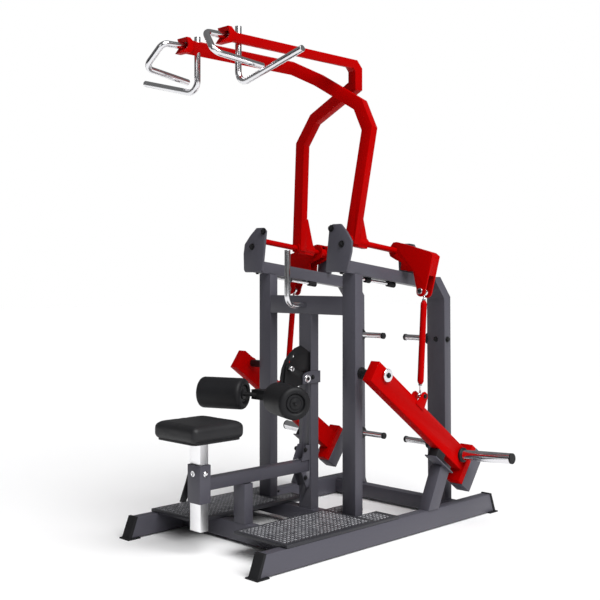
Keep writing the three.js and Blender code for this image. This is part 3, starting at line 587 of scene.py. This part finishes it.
shrink = 0.0015
cushion = slab("seat_cushion", seat_low + Vector((shrink, shrink, 0.005)),
               seat_high - Vector((shrink, shrink, 0.004)), 0.026, 0.006)
bpy.ops.object.select_all(action="DESELECT")
cushion.select_set(True)
bpy.context.view_layer.objects.active = cushion
even = cushion.modifiers.new("even", "REMESH")
even.mode = "VOXEL"
even.voxel_size = 0.0042
bpy.ops.object.modifier_apply(modifier=even.name)
held, swell = 0.020, 0.0025
rest_shape = [v.co.copy() for v in cushion.data.vertices]
stuffing = cushion.modifiers.new("stuffing", "CLOTH")
stuffing.settings.quality = 5
stuffing.settings.mass = 0.3
stuffing.settings.use_pressure = True
stuffing.settings.uniform_pressure_force = 4.0
stuffing.settings.effector_weights.gravity = 0
for step in range(1, 21):
    scene.frame_set(step)
puffed = cushion.evaluated_get(bpy.context.evaluated_depsgraph_get())
shape = [v.co.copy() for v in puffed.data.vertices]
cushion.modifiers.remove(stuffing)
scene.frame_set(1)
for vertex, start, end in zip(cushion.data.vertices, rest_shape, shape):
    move = end - start
    if start.z < seat_low.z + held:
        move.z = 0
    vertex.co = start + move.normalized() * min(move.length, swell)
for vertex in cushion.data.vertices:
    across, along = (vertex.co.x - seat_middle.x) / half, (vertex.co.y - seat_middle.y) / half
    above = (vertex.co.z - seat_low.z) / (seat_high.z - seat_low.z)
    pull = math.exp(-((abs(across) - 0.86) ** 2 + (abs(along) - 0.86) ** 2) / 0.012)
    crown = max(0.0, 1 - across * across) * max(0.0, 1 - along * along)
    vertex.co.z += (0.004 * crown - 0.002 * pull) * above
    vertex.co.z = min(vertex.co.z, seat_high.z + 0.004)
smooth = cushion.modifiers.new("smooth", "SUBSURF")
smooth.levels = smooth.render_levels = 1
bpy.ops.object.modifier_apply(modifier=smooth.name)
bpy.ops.object.shade_smooth()
finish_on(cushion, vinyl)
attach(cushion, "seat")
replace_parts(cushion, "seat_pad")

inset = 0.014
board_top = Vector((seat_high.x - inset, seat_high.y - inset, seat_low.z + 0.012))
board = slab("seat_board", seat_low + Vector((inset, inset, 0.0004)), board_top, 0.026, 0.001, 2)
joined("seat_board", [board], "seat", black_plastic)


# ---------- seat post, sleeve and release ----------
# A plated box post slides in the painted sleeve. A chrome plunger and a keyed lock ring sit on the
# sleeve, beside the black release lever.
plated = chrome_plate("plated_post", (0.95, 0.95, 0.96, 1), 0.34)
eased("seat_post", 0.002, plated)
ring = grown("lock_ring", [(0.0125, -0.0004), (0.0135, 0.0008), (0.0135, 0.0022), (0.0120, 0.0034),
                           (0.0098, 0.0034), (0.0090, 0.0012), (0.0040, 0.0012)], 32)
ring.data.transform(facing(at(-3, 57.8, 352), (0, -1, 0)))
plunger = grown("plunger", [(0.0125, -0.0004), (0.0130, 0.001), (0.0130, 0.004), (0.0105, 0.007),
                            (0.0060, 0.0085)], 32)
plunger.data.transform(facing(at(42.0, 88, 352), (1, 0, 0)))
joined("sleeve_lock_ring", [ring, plunger], "frame", chrome)
fasten("release_pivot", "frame", 0.012, [(at(-61.8, 88, 352), (-1, 0, 0))])
key_slot = slab("lock_slot", at(-5.2, 55.8, 345), at(-0.8, 57.2, 359), 0.0, 0.0006)
joined("lock_slot", [key_slot], "frame", black_plastic)


# ---------- roller bracket details ----------
# Chrome washers on the pivot, and a chrome pop pin with a turned knob that locks the yoke to one hole of
# the sector.
pop_low, pop_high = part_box("roller_pop_pin")
pin_foot = Vector((pop_low.x, (pop_low.y + pop_high.y) / 2, (pop_low.z + pop_high.z) / 2))
stem = grown("pop_stem", [(0.0040, 0.0), (0.0050, 0.001), (0.0050, 0.0196), (0.0105, 0.020), (0.0125, 0.0215),
                          (0.0130, 0.024), (0.0130, 0.0325), (0.0122, 0.0350), (0.0095, 0.0368),
                          (0.0040, 0.0368)], 36)
stem.data.transform(facing(pin_foot, (1, 0, 0)))
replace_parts(joined("pop_pin_knob", [stem], "pop_pin", chrome), "roller_pop_pin")
roller_pivot = (706, 715)
pivot_washers = []
for side in (1, -1):
    disc = grown("pivot_disc", [(0.0175, -0.001), (0.0185, 0.0), (0.0185, 0.0025), (0.0165, 0.0042),
                                (0.0060, 0.0048)], 36)
    disc.data.transform(facing(at(side * 46.5, *roller_pivot), (side, 0, 0)))
    pivot_washers.append(disc)
joined("roller_pivot_washers", pivot_washers, "frame", chrome)
pivot_bolts = [(at(side * 51, *roller_pivot), (side, 0, 0)) for side in (1, -1)]
fasten("roller_pivot_bolts", "frame", 0.012, pivot_bolts)


# ---------- weight levers: pivots, clevises and horns ----------
# A large chrome washer and dark bolt close each lever's pivot. Dark pin heads stand on the clevis lugs.
# The chrome horn has a black collar at its root and a plastic cap in its end.
lever_pivot = (776, 756)
clevis_x, clevis_pin, lug_reach = 444, (1050, 639.7), 30
horn_slope = math.radians(3.6)
horn_rise = Vector((math.cos(horn_slope), 0, math.sin(horn_slope)))
for hand, side in (("right", 1), ("left", -1)):
    body = f"{hand}_lever"
    disc = grown("lever_washer", [(0.0285, -0.006), (0.0296, -0.0052), (0.0296, 0.0006), (0.0282, 0.0022),
                                  (0.0120, 0.0028)], 48)
    disc.data.transform(facing(at(side * 481, *lever_pivot), (side, 0, 0)))
    joined(f"lever_washer_{hand}", [disc], "frame", chrome)
    fasten(f"lever_pivot_bolt_{hand}", "frame", 0.017, [(at(side * 483.4, *lever_pivot), (side, 0, 0))])
    heads = [(at(side * (clevis_x + sense * lug_reach), *clevis_pin), (side * sense, 0, 0))
             for sense in (1, -1)]
    fasten(f"clevis_pin_heads_{hand}", body, 0.015, heads)
    horn = frame["nodes"][f"weight_horn_{hand}"]
    tip = max(horn.data.vertices, key=lambda v: side * v.co.x).co.x
    ring_points = [v.co for v in horn.data.vertices if abs(v.co.x - tip) < 0.004]
    tip_middle = sum(ring_points, Vector()) / len(ring_points)
    along = Vector((side * horn_rise.x, 0, horn_rise.z))
    root = tip_middle - along * (abs(tip) - 0.472) / horn_rise.x
    collar = grown("horn_collar", [(0.0262, 0.0), (0.0335, 0.0), (0.0352, 0.0015), (0.0352, 0.0105),
                                   (0.0335, 0.0125), (0.0285, 0.0140), (0.0256, 0.0180)], 40)
    collar.data.transform(facing(root - along * 0.0012, along))
    cap = grown("horn_cap", [(0.0248, -0.008), (0.0253, -0.0075), (0.0253, -0.0008), (0.0238, 0.0008),
                             (0.0120, 0.0009)], 40)
    cap.data.transform(facing(tip_middle, along))
    joined(f"horn_collar_{hand}", [collar, cap], body, black_plastic)
    reach = (tip_middle - root).length
    bar = grown("horn_bar", [(0.0240, -0.004), (0.0250, -0.003), (0.0250, reach - 0.009),
                             (0.0246, reach - 0.008)], 40)
    bar.data.transform(facing(root, along))
    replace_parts(joined(f"horn_bar_{hand}", [bar], body, chrome), f"weight_horn_{hand}")


# ---------- links ----------
# A red tube with necked ends, and a polished rod with a lock nut and an eye screwed in at each end. The
# upper eye turns on the crank's pin.
crank_x, crank_middle, crank_drop = 174, 449, -196
for hand, side in (("right", 1), ("left", -1)):
    body = f"{hand}_link"
    top = on_shaft(side, crank_x, crank_middle, crank_drop)
    low = at(side * clevis_x, *clevis_pin)
    run = (low - top).normalized()
    length = (low - top).length
    tube = grown(f"link_tube_{hand}", [
        (0.0070, 0.0402), (0.0085, 0.0402), (0.0100, 0.0440), (0.0140, 0.0520), (0.0150, 0.0555),
        (0.0150, 0.0700), (0.0150, length - 0.0820), (0.0150, length - 0.0680), (0.0140, length - 0.0645),
        (0.0100, length - 0.0565), (0.0085, length - 0.0540), (0.0070, length - 0.0540)], 36)
    tube.data.transform(facing(top, run))
    tube = joined(f"link_tube_{hand}", [tube], body, red)
    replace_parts(tube, f"link_{hand}")
    rod = grown("rod", [(0.0048, 0.0150), (0.0050, 0.0155), (0.0050, length - 0.0125),
                        (0.0048, length - 0.0120)], 20)
    nut_top = grown("nut_top", [(0.0085, 0.0330), (0.0092, 0.0338), (0.0092, 0.0392), (0.0085, 0.0400)], 6)
    nut_low = grown("nut_low", [(0.0085, length - 0.0538), (0.0092, length - 0.0530),
                                (0.0092, length - 0.0475), (0.0085, length - 0.0467)], 6)
    for part in (rod, nut_top, nut_low):
        part.data.transform(facing(top, run))
    upper_eye = grown("upper_eye", [(0.0170, -0.0058), (0.0178, -0.0050), (0.0178, 0.0050), (0.0170, 0.0058),
                                    (0.0112, 0.0058), (0.0105, 0.0050), (0.0105, -0.0050), (0.0112, -0.0058),
                                    (0.0170, -0.0058)], 36)
    upper_eye.data.transform(facing(top, shaft_run))
    lower_eye = grown("lower_eye", [(0.0130, -0.0040), (0.0140, -0.0030), (0.0140, 0.0030), (0.0130, 0.0040),
                                    (0.0080, 0.0040), (0.0070, 0.0030), (0.0070, -0.0030), (0.0080, -0.0040),
                                    (0.0130, -0.0040)], 36)
    lower_eye.data.transform(facing(low, (1, 0, 0)))
    for part in (upper_eye, lower_eye):
        bpy.ops.object.select_all(action="DESELECT")
        part.select_set(True)
        bpy.context.view_layer.objects.active = part
        bpy.ops.object.mode_set(mode="EDIT")
        bpy.ops.mesh.select_all(action="SELECT")
        bpy.ops.mesh.remove_doubles(threshold=0.00001)
        bpy.ops.mesh.normals_make_consistent(inside=False)
        bpy.ops.object.mode_set(mode="OBJECT")
    joined(f"link_rod_{hand}", [rod, nut_top, nut_low, upper_eye, lower_eye], body, chrome)
    discs, heads = [], []
    for sense in (-1, 1):
        foot = on_shaft(side, crank_x, crank_middle + sense * 35, crank_drop)
        disc = grown("crank_disc", [(0.0135, -0.007), (0.0145, -0.006), (0.0145, 0.0008), (0.0130, 0.0022),
                                    (0.0070, 0.0026)], 32)
        disc.data.transform(facing(foot, shaft_run * sense))
        discs.append(disc)
        heads.append((foot + shaft_run * sense * 0.0022, shaft_run * sense))
    joined(f"crank_pin_washers_{hand}", discs, f"{hand}_arm", chrome)
    fasten(f"crank_pin_heads_{hand}", f"{hand}_arm", 0.011, heads)


# ---------- shaft bearings and stop rods ----------
# A black flange bearing stands behind each front plate and on each rear plate. Below each top beam runs a
# chrome stop rod with two black rubber sleeves.
rod_drop = -166
bearings, rods, sleeves = [], [], []
for side in (1, -1):
    for along, sense in ((12.2, 1), (499.8, -1)):
        housing = grown("bearing", [(0.0150, 0.0), (0.0300, 0.0), (0.0310, 0.0010), (0.0310, 0.0075),
                                    (0.0280, 0.0100), (0.0230, 0.0110), (0.0220, 0.0185), (0.0200, 0.0200),
                                    (0.0150, 0.0200)], 36)
        housing.data.transform(facing(on_shaft(side, 0, along, 0), shaft_run * sense))
        bearings.append(housing)
    rear_cap = grown("rear_cap", [(0.0240, 0.0), (0.0250, 0.0008), (0.0250, 0.0040), (0.0200, 0.0085),
                                  (0.0100, 0.0105)], 36)
    rear_cap.data.transform(facing(on_shaft(side, 0, 512.2, 0), shaft_run))
    bearings.append(rear_cap)
    rod = grown("stop_rod", [(0.0070, 0.0), (0.0080, 0.001), (0.0080, 0.236), (0.0070, 0.237)], 24)
    rod.data.transform(facing(on_shaft(side, 2, 150, rod_drop), shaft_run))
    rods.append(rod)
    for along, long in ((215, 0.034), (378, 0.052)):
        sleeve = grown("sleeve", [(0.0120, 0.0), (0.0140, 0.0015), (0.0140, long - 0.0015),
                                  (0.0120, long)], 28)
        sleeve.data.transform(facing(on_shaft(side, 2, along, rod_drop), shaft_run))
        sleeves.append(sleeve)
joined("shaft_bearings", bearings, "frame", black_steel)
joined("stop_rods", rods, "frame", chrome)
joined("stop_sleeves", sleeves, "frame", rubber)


# ---------- storage pegs ----------
# Chrome bars for spare plates on the rear uprights' inner faces, each with a black flange at its root and
# a black cap in its end.
for level, z in peg_heights.items():
    for hand, side in (("right", 1), ("left", -1)):
        foot = at(side * 230.7, rear_upright_middle(z), z)
        bar = grown("bar", [(0.0140, 0.008), (0.0150, 0.009), (0.0150, 0.149), (0.0145, 0.1495)], 32)
        bar.data.transform(facing(foot, (-side, 0, 0)))
        bar = joined(f"peg_bar_{level}_{hand}", [bar], "frame", chrome)
        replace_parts(bar, f"storage_peg_{level}_{hand}")
        flange = grown("flange", [(0.0290, 0.0002), (0.0300, 0.0012), (0.0300, 0.0085), (0.0285, 0.0100),
                                  (0.0220, 0.0138), (0.0152, 0.0150)], 36)
        cap = grown("cap", [(0.0155, 0.1485), (0.0168, 0.1495), (0.0168, 0.1600), (0.0150, 0.1618),
                            (0.0060, 0.1620)], 32)
        for part in (flange, cap):
            part.data.transform(facing(foot, (-side, 0, 0)))
        joined(f"peg_flange_{level}_{hand}", [flange, cap], "frame", black_plastic)


# ---------- foot plates ----------
# Folded steel plates beside the seat, coated dark. Short raised bars, in turn one way and the other, are
# rolled into the top for grip, and their tops are worn bright.
tread = powder_coat("tread_coat", (0.030, 0.030, 0.035, 1), (0.20, 0.20, 0.21, 1), 0.38)
bright_tread = Finish("worn_tread_bars", Metallic=0.35, Specular_IOR_Level=0.5)
rubbed = bright_tread.noise(34.0, 4.0)
bared = bright_tread.ramp(rubbed, 0.35, 0.7)
bright_tread.feed(Base_Color=bright_tread.mix(bared, (0.09, 0.09, 0.10, 1), (0.34, 0.34, 0.36, 1)))
bright_tread.feed(Roughness=rubbed * 0.2 + 0.24)
bright_tread.relief(rubbed, 0.1, 0.0004)
pitch, plate_top = 0.022, 0.1105
for hand, side in (("right", 1), ("left", -1)):
    eased(f"tread_plate_{hand}", 0.002, tread)
    patches = []
    for x0, x1, y0, y1 in ((140, 448, 182, 726), (140, 230, 732, 868), (330, 448, 732, 868)):
        bpy.ops.object.select_all(action="DESELECT")
        lozenges = []
        for turn, shift in ((45, 0.0), (-45, 0.5)):
            bpy.ops.mesh.primitive_cylinder_add(vertices=8, radius=1, depth=1)
            lozenge = bpy.context.object
            lozenge.scale = (0.0098, 0.0026, 0.0020)
            lozenge.rotation_euler.z = math.radians(turn)
            bpy.ops.object.transform_apply(location=True, rotation=True, scale=True)
            bpy.ops.object.mode_set(mode="EDIT")
            bpy.ops.mesh.select_all(action="DESELECT")
            bpy.ops.object.mode_set(mode="OBJECT")
            for face in lozenge.data.polygons:
                face.select = face.normal.z > 0.9
            bpy.ops.object.mode_set(mode="EDIT")
            bpy.ops.transform.resize(value=(0.72, 0.72, 1), center_override=(0, 0, 0))
            bpy.ops.object.mode_set(mode="OBJECT")
            lozenge.data.transform(Matrix.Translation((shift * pitch, shift * pitch, 0)))
            lozenges.append(lozenge)
        for lozenge in lozenges:
            lozenge.select_set(True)
        bpy.context.view_layer.objects.active = lozenges[0]
        bpy.ops.object.join()
        patch = bpy.context.object
        left = min(side * x0, side * x1) / 1000
        near = front_edge + y0 / 1000
        patch.data.transform(Matrix.Translation((left + pitch / 2, near + pitch / 2, plate_top)))
        for axis, room in ((0, x1 - x0), (1, y1 - y0)):
            rows = patch.modifiers.new("rows", "ARRAY")
            rows.use_relative_offset = False
            rows.use_constant_offset = True
            rows.constant_offset_displace = (pitch if axis == 0 else 0, pitch if axis == 1 else 0, 0)
            rows.count = int(room / 1000 / pitch - 0.35)
            bpy.ops.object.modifier_apply(modifier=rows.name)
        patches.append(patch)
    joined(f"tread_bars_{hand}", patches, "frame", bright_tread)
